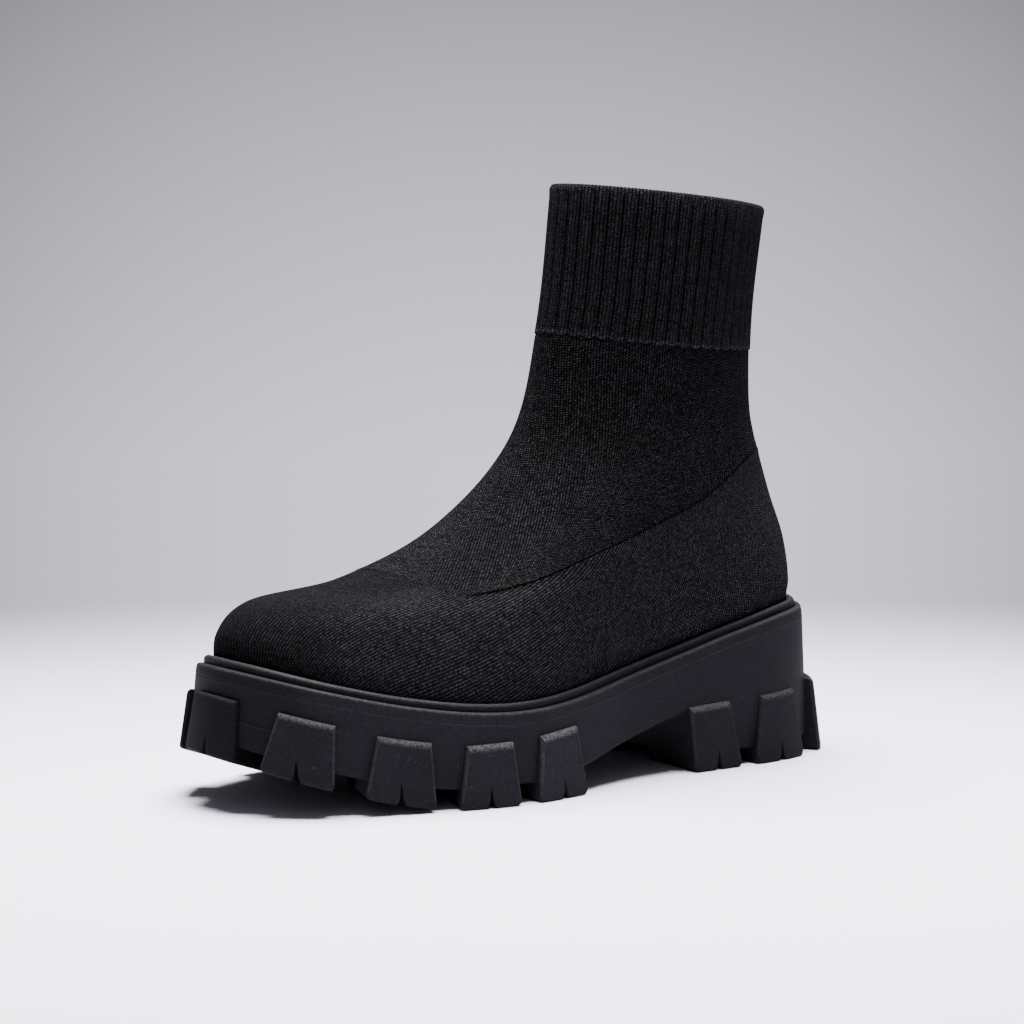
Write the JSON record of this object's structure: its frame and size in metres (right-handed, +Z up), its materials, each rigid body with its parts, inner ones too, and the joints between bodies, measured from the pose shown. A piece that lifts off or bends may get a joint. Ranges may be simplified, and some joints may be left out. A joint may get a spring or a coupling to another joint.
{
  "type": "platform ankle boot",
  "caption": "Knit sock ankle boot with a ribbed cuff on a thick lugged platform sole, open at the collar to take a foot.",
  "frame": {"origin": "on the floor, under the middle of the boot's box", "axes": "+X towards the toe, +Y towards the wearer's left, which is the outer side of this left boot, +Z up"},
  "size_m": [0.2846, 0.125, 0.234],
  "materials": {
    "sole_rubber": "satin",
    "welt_rubber": "satin",
    "knit": "matte",
    "footbed": "matte"
  },
  "bodies": {
    "root": {"outsole": "sole_rubber", "welt": "welt_rubber", "upper": "knit", "insole": "footbed"}
  },
  "joints": []
}
